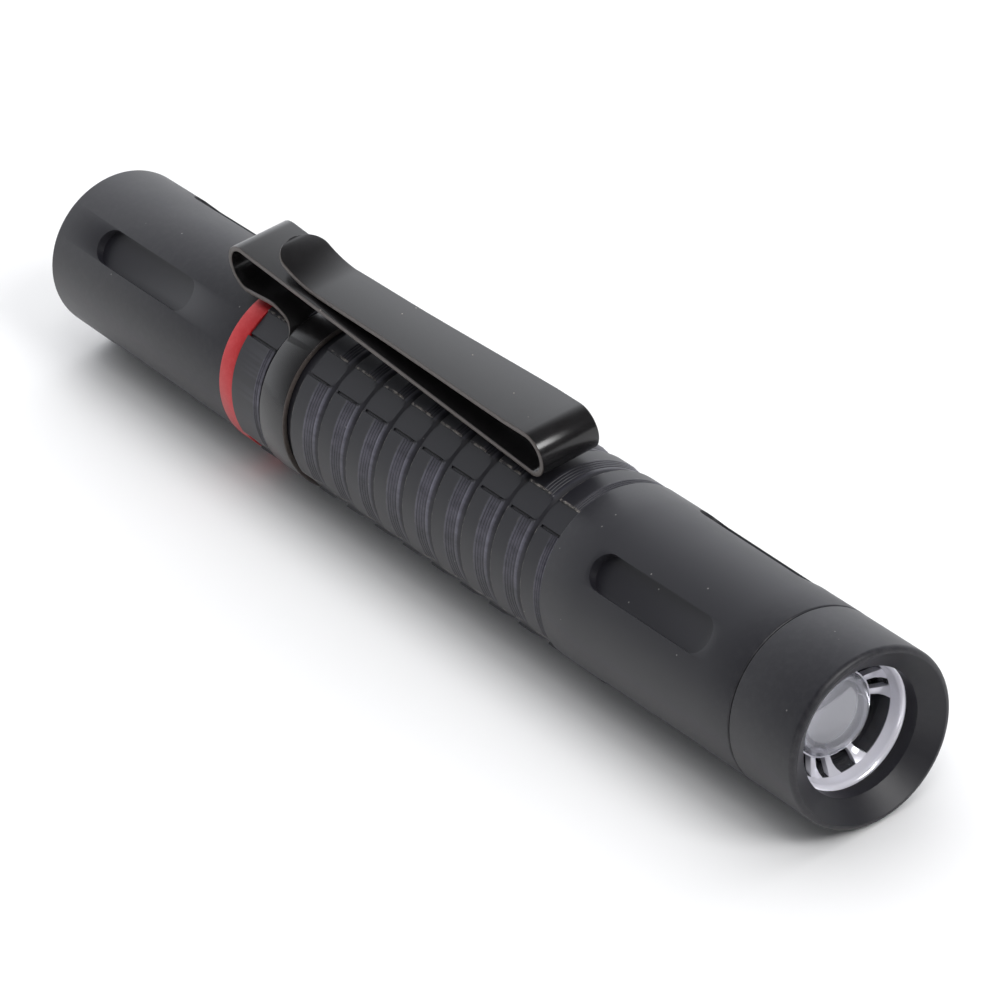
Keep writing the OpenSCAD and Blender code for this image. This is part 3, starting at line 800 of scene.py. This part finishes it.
class PEN_OT_head(Operator):
    """Build the smooth head tube and the bezel with its dished face"""

    bl_idname = "pen.head"
    bl_label = "Head and bezel"

    def execute(self, context):
        grip, mouth, bore, neck = 7.17, 7.02, 5.83, 6.25
        seat, socket = 73.16, 6.15
        socket_floor = 87.31
        slot_start, slot_floor = 73.41, 6.4
        outer = [(HEAD_X, neck), (HEAD_X, grip), (HEAD_X + 4, grip), (BEZEL_X - 3.5, mouth),
                 (BEZEL_X, mouth), (BEZEL_X, socket), (socket_floor, socket), (socket_floor, bore),
                 (seat, bore), (seat, neck)]
        head = lathe("head_tube", rounded(outer, {1: 0.07, 4: 0.15}))
        cut_slots(head, slot_start, sizes().slot_length, sizes().slot_width, slot_floor)
        finish_piece(head, "barrel", ["head"], "body")

        outside, dish, window, lens_bore = 7.0, 6.53, 5.0, 5.43
        outer = [(87.41, lens_bore), (87.41, 6.05), (BEZEL_X + 0.04, 6.05), (BEZEL_X + 0.04, outside),
                 (FRONT_X, outside), (FRONT_X, dish), (97.21, window), (96.16, window), (96.16, lens_bore)]
        bezel = lathe("bezel_ring", rounded(outer, {3: 0.15, 4: 0.45, 6: 0.06}, steps=8))
        finish_piece(bezel, "barrel", ["bezel"], "body")
        return {"FINISHED"}


# ---------------------------------------------------------------- clip


def arc_stations(cx, cz, radius, start, end, width, steps):
    """Stations on an arc of the strip's middle line. Angles are in degrees in the x-height plane."""
    sense = 1 if end > start else -1
    out = []
    for k in range(steps + 1):
        a = math.radians(start + (end - start) * k / steps)
        out.append((cx + radius * math.cos(a), cz + radius * math.sin(a), a + sense * math.pi / 2, width))
    return out


def line_stations(start, end, w0, w1, steps):
    """Stations on a straight line, from width w0 to w1."""
    direction = math.atan2(end[1] - start[1], end[0] - start[0])
    return [
        (start[0] + (end[0] - start[0]) * k / steps, start[1] + (end[1] - start[1]) * k / steps,
         direction, w0 + (w1 - w0) * k / steps)
        for k in range(steps + 1)
    ]


def spline_stations(points, width, steps):
    """Stations through points on a smooth curve (Catmull-Rom)."""
    pts = [Vector(p) for p in points]
    ends = [pts[0] * 2 - pts[1]] + pts + [pts[-1] * 2 - pts[-2]]
    curve = []
    for i in range(1, len(ends) - 2):
        p0, p1, p2, p3 = ends[i - 1:i + 3]
        for k in range(steps):
            t = k / steps
            curve.append(0.5 * ((2 * p1) + (p2 - p0) * t + (2 * p0 - 5 * p1 + 4 * p2 - p3) * t * t
                                + (3 * p1 - p0 - 3 * p2 + p3) * t ** 3))
    curve.append(pts[-1])
    out = []
    for i, p in enumerate(curve):
        d = curve[min(i + 1, len(curve) - 1)] - curve[max(i - 1, 0)]
        out.append((p.x, p.y, math.atan2(d.y, d.x), width))
    return out


def band_ring(width, inner, thickness, gap, corner=0.09):
    """The clip's band: a strip bent round the barrel, open by a gap in degrees at the bottom."""
    verts, edge, rings = [], [], []
    steps = 96
    section = strip_section(width, thickness, corner)
    for i in range(steps + 1):
        a = math.radians(-180 + gap / 2 + (360 - gap) * i / steps)
        rings.append(range(len(verts), len(verts) + len(section)))
        for across, out, mark in section:
            verts.append(place(sizes().band_start + width / 2 + across, inner + thickness / 2 + out, a))
            edge.append(mark)
    return new_object("clip_band_ring", verts, skin(rings), edge)


def round_end(stations, radius, narrowest=0.6):
    """Narrows the last stations so that a strip ends in two rounded corners."""
    end_x, end_h = stations[-1][0], stations[-1][1]
    out = []
    for x, h, a, w in stations:
        left = math.hypot(x - end_x, h - end_h)
        if left < radius:
            w = 2 * (w / 2 - radius + math.sqrt(max(0.02, radius ** 2 - (radius - left) ** 2)))
        out.append((x, h, a, max(w, narrowest)))
    return out


class PEN_OT_clip(Operator):
    """Build the folded steel clip: band, root, rear bend, lower leaf, front bend and upper leaf"""

    bl_idname = "pen.clip"
    bl_label = "Clip"

    def execute(self, context):
        t, wide = sizes().strip, sizes().leaf_width
        # Middles of the two bends as (x, height), and the radii of the strip's middle line there
        bend_height = 9.35
        rear, front = (25.3, bend_height), (63.4, bend_height)
        rear_outer, front_outer, front_inner = 2.07, 1.87, 1.42
        rear_mid, front_mid = rear_outer - t / 2, front_outer - t / 2
        slope = math.asin((rear_outer + front_inner) / (front[0] - rear[0]))
        lean = Vector((math.sin(slope), math.cos(slope)))
        leaf_start = Vector(rear) + lean * rear_mid
        leaf_end = Vector(front) - lean * front_mid
        seam = (leaf_start + leaf_end) / 2

        root = [(32.9, 6.985), (32.3, 6.985), (31.9, 7.02), (31.5, 7.16), (31.0, 7.40), (30.3, 7.66),
                (29.3, 7.80), (28.2, 7.745), (27.1, 7.655), (26.2, 7.58),
                (rear[0] + 0.15, rear[1] - rear_mid + 0.02)]
        flare_start, flare_length, flare_extra = 30.2, 1.9, 2.4
        rear_half = []
        for x, h, turn, w in spline_stations(root, wide, 6):
            part = min(1.0, max(0.0, (x - flare_start) / flare_length))
            rear_half.append((x, h, turn, w + flare_extra * part ** 3))
        rear_half += arc_stations(*rear, rear_mid, 267, 90 - math.degrees(slope), wide, 40)[1:]
        rear_half += line_stations(leaf_start, seam, wide, wide, 24)[1:]

        def crown(x, h):
            part = min(1.0, max(0.0, (x - 28.4) / 3.2)) if h < 8 else 0.0
            return part * part * (3 - 2 * part)

        strap = sweep("clip_strap", rear_half, t, crown=crown)
        band_bore, band_gap = 6.74, 60
        band = band_ring(sizes().band_width, band_bore, t, band_gap)
        union = band.modifiers.new("join", "BOOLEAN")
        union.operation = "UNION"
        union.solver = "EXACT"
        union.object = strap
        apply_modifiers(band)
        bpy.data.objects.remove(strap, do_unlink=True)
        band.name = "clip_rear_half"
        finish_piece(band, None, ["clip_band"], "clip", sharp=40)

        # The upper leaf narrows from the front bend to the flare at its free end: (x, width) pairs
        upper, bend_width, tip_width = bend_height + front_mid, 5.15, 4.15
        flare_x, flare_turn = 35.2, math.radians(24)
        flare_radius = 9 + t / 2
        tip_length, tip_corner = 2.2, 1.9
        taper = [(front[0], bend_width), (60.5, 5.2), (56.0, 4.97), (52.0, 4.75), (48.0, 4.53),
                 (44.0, 4.34), (40.0, 4.27), (37.5, 4.24), (flare_x, 4.18)]
        front_half = line_stations(seam, leaf_end, wide, wide, 24)
        front_half += arc_stations(*front, front_mid, -90 - math.degrees(slope), 90, bend_width, 40)[1:]
        for (x0, w0), (x1, w1) in zip(taper, taper[1:]):
            front_half += line_stations((x0, upper), (x1, upper), w0, w1, 4)[1:]
        flare = arc_stations(flare_x, upper + flare_radius, flare_radius, 270,
                             270 - math.degrees(flare_turn), tip_width, 12)[1:]
        start = flare[-1][:2]
        tip = (start[0] - tip_length * math.cos(flare_turn), start[1] + tip_length * math.sin(flare_turn))
        flare += line_stations(start, tip, tip_width, tip_width, 10)[1:]
        tongue = sweep("clip_front_half", front_half + round_end(flare, tip_corner), t)
        finish_piece(tongue, None, ["clip_arm", "clip_tongue"], "clip", sharp=40)

        def level(height):
            return (REAR + 44 * MM, 0.0, AXIS_Z + height * MM)

        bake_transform(band, "clip_band", "clip_arm", start=level(8.12), end=level(9.2))
        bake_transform(tongue, "clip_arm", "clip_tongue", start=level(9.75), end=level(10.7))
        return {"FINISHED"}


# ---------------------------------------------------------------- lens and light source


class PEN_OT_lens(Operator):
    """Build the clear lens with its flange, webs and dome, and the light source behind it"""

    bl_idname = "pen.lens"
    bl_label = "Lens and light source"

    def execute(self, context):
        bm = bmesh.new()
        for part in (self.flange(), self.core()):
            bm.from_mesh(part.data)
            bpy.data.objects.remove(part, do_unlink=True)
        self.webs(bm)
        bmesh.ops.recalc_face_normals(bm, faces=bm.faces)
        mesh = bpy.data.meshes.new("lens_clear")
        bm.to_mesh(mesh)
        bm.free()
        lens = bpy.data.objects.new("lens_clear", mesh)
        context.scene.collection.objects.link(lens)
        finish_piece(lens, "barrel", ["lens"], "lens", sharp=35)

        self.light_source(context)
        return {"FINISHED"}

    def flange(self):
        """The outer ring, with a rounded lip and the wall just behind it painted pale as glints, and a clear
        wall deeper in.
        """
        low, high = along("lens", 0), along("lens", 1)
        rim, steps = 5.4, 16
        lip = []
        for k in range(steps + 1):
            a = math.pi / 2 * k / steps
            lip.append((high - 0.55 + 0.5 * math.cos(a), 5.14 - 0.38 * math.sin(a)))
        wall = [(high - 0.8, 4.71), (high - 1.05, 4.64), (high - 1.15, 4.61)]
        deep = [(high - 1.25, 4.58), (high - 1.6, 4.46), (low + 1.6, 4.38), (low + 1.25, 4.32)]
        ring = plain([(low, 4.3), (low, rim - 0.04), (low + 0.04, rim), (high - 0.1, rim),
                      (high - 0.05, rim - 0.04)])
        # The lip and the wall behind it are painted pale as glints
        ring += [(x, r, 0.0, 1.0) for x, r in lip + wall]
        return lathe("lens_flange", ring + plain(deep), count=192)

    def core(self):
        """The middle of the lens: a foot that widens to a step painted pale as a glint, and the dome on it,
        with a little of the same painted glint.
        """
        low, dome, height, steps = along("lens", 0), sizes().dome_radius, 1.5, 24
        crown = []
        for k in range(steps + 1):
            a = math.pi / 2 * k / steps
            crown.append((low + 1.6 + height * math.sin(a), max(dome * math.cos(a), AXIS), 0.0, 0.24))
        foot = plain([(low, AXIS), (low, 2.2), (low + 0.5, 2.75), (low + 1.0, 3.12), (low + 1.45, 3.34),
                      (low + 1.66, 3.40)])
        step = [(low + 1.70, 3.37, 0.0, 1.0), (low + 1.72, 3.30, 0.0, 0.8), (low + 1.70, 3.24, 0.0, 0.0)]
        return lathe("lens_core", foot + step + crown, count=192)

    def webs(self, bm):
        """Three groups of three ridged webs that widen and rise from the dome to the flange."""
        low, depth, ridge = along("lens", 0), 0.6, 0.06
        layer = bm.verts.layers.float["line"]
        rows = ((3.1, 1.36, 0.095), (3.6, 1.42, 0.065), (4.05, 1.72, 0.065), (4.35, 2.05, 0.085),
                (4.6, 2.4, 0.12))
        for third in range(3):
            for offset in (198, 168, 147):
                middle = math.radians(offset + 120 * third)
                rings = []
                for r, rise, wide in rows:
                    top = low + rise
                    section = ((top - depth, -1), (top, -1), (top + ridge, 0), (top, 1), (top - depth, 1))
                    rings.append([bm.verts.new(place(x, r, middle + side * wide)) for x, side in section])
                for face in skin(rings):
                    bm.faces.new(face)
                # The webs are painted nearly fully pale, as glints in the clear plastic
                for vert in sum(rings, []):
                    vert[layer] = 0.9

    def light_source(self, context):
        """The diode: a square package with bevelled edges, and a small dome on it."""
        base = along("led_emitter", 0)
        thick, square, bevel, dome_base, dome_radius = 0.7, 3.4, 0.12, 1.38, 1.3
        dome = [(base + 0.6, AXIS), (base + 0.6, dome_base), (base + thick, dome_base)]
        for k in range(11):
            a = math.pi / 20 * k
            dome.append((base + 0.72 + 1.27 * math.sin(a), max(dome_radius * math.cos(a), AXIS)))
        dome_obj = lathe("led_dome", plain(dome), count=64)
        bm = bmesh.new()
        cube = bmesh.ops.create_cube(bm, size=1.0)["verts"]
        bmesh.ops.scale(bm, vec=Vector((thick, square, square)) * MM, verts=cube)
        bmesh.ops.translate(bm, vec=Vector((REAR + (base + thick / 2) * MM, 0, AXIS_Z)), verts=cube)
        bmesh.ops.bevel(bm, geom=bm.edges[:], offset=bevel * MM, segments=3, affect="EDGES")
        bm.from_mesh(dome_obj.data)
        mesh = bpy.data.meshes.new("led_chip")
        bm.to_mesh(mesh)
        bm.free()
        bpy.data.objects.remove(dome_obj, do_unlink=True)
        chip = bpy.data.objects.new("led_chip", mesh)
        context.scene.collection.objects.link(chip)
        finish_piece(chip, "barrel", ["led_emitter"], "package", sharp=35)


# ---------------------------------------------------------------- inner parts


class PEN_OT_inner(Operator):
    """Build the wire springs and the tail's rubber ring"""

    bl_idname = "pen.inner"
    bl_label = "Springs and seal"

    def execute(self, context):
        for name, node, body, slot, finish, r0, r1, wire, turns in (
            ("tail_coil", "tail_spring", "tail", "spring_steel", "spring", 3.7, 2.6, 0.3, 6),
            ("driver_coil", "driver_spring", "barrel", "spring_gold", "gold", 1.6, 2.4, 0.25, 4),
            ("switch_coil", "switch_spring", None, "spring_steel", "spring", 2.1, 2.1, 0.2, 6),
        ):
            x0, x1 = along(node, 0), along(node, 1)
            spring = coil(name, x0, x1, r0, r1, wire, turns)
            finish_piece(spring, body, [node], finish, sharp=60)
        # The switch's spring shortens between the button and the tail
        start, end = ((REAR + x * MM, 0, AXIS_Z) for x in (x0, x1))
        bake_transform(spring, "button", "tail", start=start, end=end)

        middle = (along("tail_o_ring", 0) + along("tail_o_ring", 1)) / 2
        radius, thick, steps = 6.06, 0.3, 20
        section = []
        for k in range(steps):
            a = 2 * math.pi * k / steps
            section.append((middle + thick * math.cos(a), radius + thick * math.sin(a)))
        seal = lathe("tail_seal", plain(section), count=160)
        finish_piece(seal, "barrel", ["tail_o_ring"], "seal", sharp=60)
        return {"FINISHED"}


# ---------------------------------------------------------------- stage


def area_light(name, spot, size, power):
    """A square soft light that shines at the middle of the floor."""
    data = bpy.data.lights.new(name, "AREA")
    data.energy = power
    data.size = size
    obj = bpy.data.objects.new(name, data)
    obj.location = spot
    obj.rotation_euler = (-Vector(spot)).to_track_quat("-Z", "Y").to_euler()
    bpy.context.scene.collection.objects.link(obj)
    return obj


# The camera's place: its direction from the point that it looks at, its roll and its distance
VIEW_AZIMUTH, VIEW_ELEVATION, VIEW_ROLL = (math.radians(a) for a in (60.2775, 33.1806, -10.4673))
VIEW_DISTANCE = 0.416
VIEW_POINT = Vector((-0.0001, 0.0029, 0.00287))
VIEW = Vector((math.sin(VIEW_AZIMUTH) * math.cos(VIEW_ELEVATION),
               -math.cos(VIEW_AZIMUTH) * math.cos(VIEW_ELEVATION), math.sin(VIEW_ELEVATION)))


class PEN_OT_stage(Operator):
    """Build the floor, the soft lights and the camera"""

    bl_idname = "pen.stage"
    bl_label = "Stage"

    def execute(self, context):
        scene = context.scene
        floor_radius, clearance = 3.0, 0.01 * MM
        bm = bmesh.new()
        bmesh.ops.create_circle(bm, cap_ends=True, segments=64, radius=floor_radius)
        mesh = bpy.data.meshes.new("floor")
        bm.to_mesh(mesh)
        bm.free()
        floor = bpy.data.objects.new("floor", mesh)
        floor.location.z = -clearance
        scene.collection.objects.link(floor)
        f = Finish("floor_paper")
        f.colour(f.mix(f.noise(0.02, 3), (0.86, 0.86, 0.87), (0.88, 0.88, 0.88)))
        f.set(Roughness=0.9)
        floor.data.materials.append(f.material)

        # The studio is bright behind the pen and dark where the first camera stands
        behind, beside, bright, dark = -0.55, 0.30, 1.65, 0.07
        world = bpy.data.worlds.new("studio")
        world.use_nodes = True
        nodes, links = world.node_tree.nodes, world.node_tree.links
        shade = nodes["Background"]
        shade.inputs["Color"].default_value = (0.94, 0.96, 1.0, 1.0)
        toward = nodes.new("ShaderNodeVectorMath")
        toward.operation = "DOT_PRODUCT"
        toward.inputs[1].default_value = VIEW
        links.new(nodes.new("ShaderNodeTexCoord").outputs["Generated"], toward.inputs[0])
        level = nodes.new("ShaderNodeMapRange")
        level.interpolation_type = "SMOOTHSTEP"
        for key, number in zip(RANGE, (behind, beside, bright, dark)):
            level.inputs[key].default_value = number
        links.new(toward.outputs["Value"], level.inputs["Value"])
        links.new(level.outputs["Result"], shade.inputs["Strength"])
        scene.world = world
        top = area_light("top_soft", (-0.1, 0.2, 0.9), 1.6, 11.0)
        top.visible_glossy = False
        area_light("front_soft", (0.75, 0.15, 0.65), 0.35, 4.8)
        area_light("side_soft", (0.37, -0.95, 0.12), 0.22, 0.8)
        area_light("high_soft", (0.44, -0.17, 0.91), 0.16, 0.6)

        camera = bpy.data.cameras.new("camera")
        camera.lens = 196.92
        camera.sensor_width = 36.0
        camera.clip_start = 0.01
        camera.clip_end = 20
        obj = bpy.data.objects.new("camera", camera)
        turn = VIEW.to_track_quat("Z", "Y").to_matrix() @ Matrix.Rotation(VIEW_ROLL, 3, "Z")
        obj.matrix_world = Matrix.Translation(VIEW_POINT + VIEW * VIEW_DISTANCE) @ turn.to_4x4()
        scene.collection.objects.link(obj)
        scene.camera = obj
        scene.view_settings.view_transform = "Standard"
        return {"FINISHED"}


# ---------------------------------------------------------------- panel and registration


class PEN_PT_panel(Panel):
    """List the pen's operators, sizes and colours"""

    bl_label = "Pen Torch"
    bl_idname = "PEN_PT_panel"
    bl_space_type = "VIEW_3D"
    bl_region_type = "UI"
    bl_category = "Pen Torch"

    def draw(self, context):
        for operator in OPERATORS:
            self.layout.operator(operator.bl_idname)
        for group in (context.scene.pen_sizes, context.scene.pen_colours):
            column = self.layout.column(align=True)
            for key in group.__annotations__:
                column.prop(group, key)


OPERATORS = (PEN_OT_finishes, PEN_OT_tail, PEN_OT_barrel, PEN_OT_head, PEN_OT_clip, PEN_OT_lens,
             PEN_OT_inner, PEN_OT_stage)
CLASSES = (PenSizes, PenColours) + OPERATORS + (PEN_PT_panel,)


def register():
    for cls in CLASSES:
        bpy.utils.register_class(cls)
    bpy.types.Scene.pen_sizes = PointerProperty(type=PenSizes)
    bpy.types.Scene.pen_colours = PointerProperty(type=PenColours)


def unregister():
    del bpy.types.Scene.pen_colours
    del bpy.types.Scene.pen_sizes
    for cls in reversed(CLASSES):
        bpy.utils.unregister_class(cls)


def main():
    register()
    for name in ("finishes", "tail", "barrel", "head", "clip", "lens", "inner", "stage"):
        getattr(bpy.ops.pen, name)()


if __name__ == "__main__":
    main()
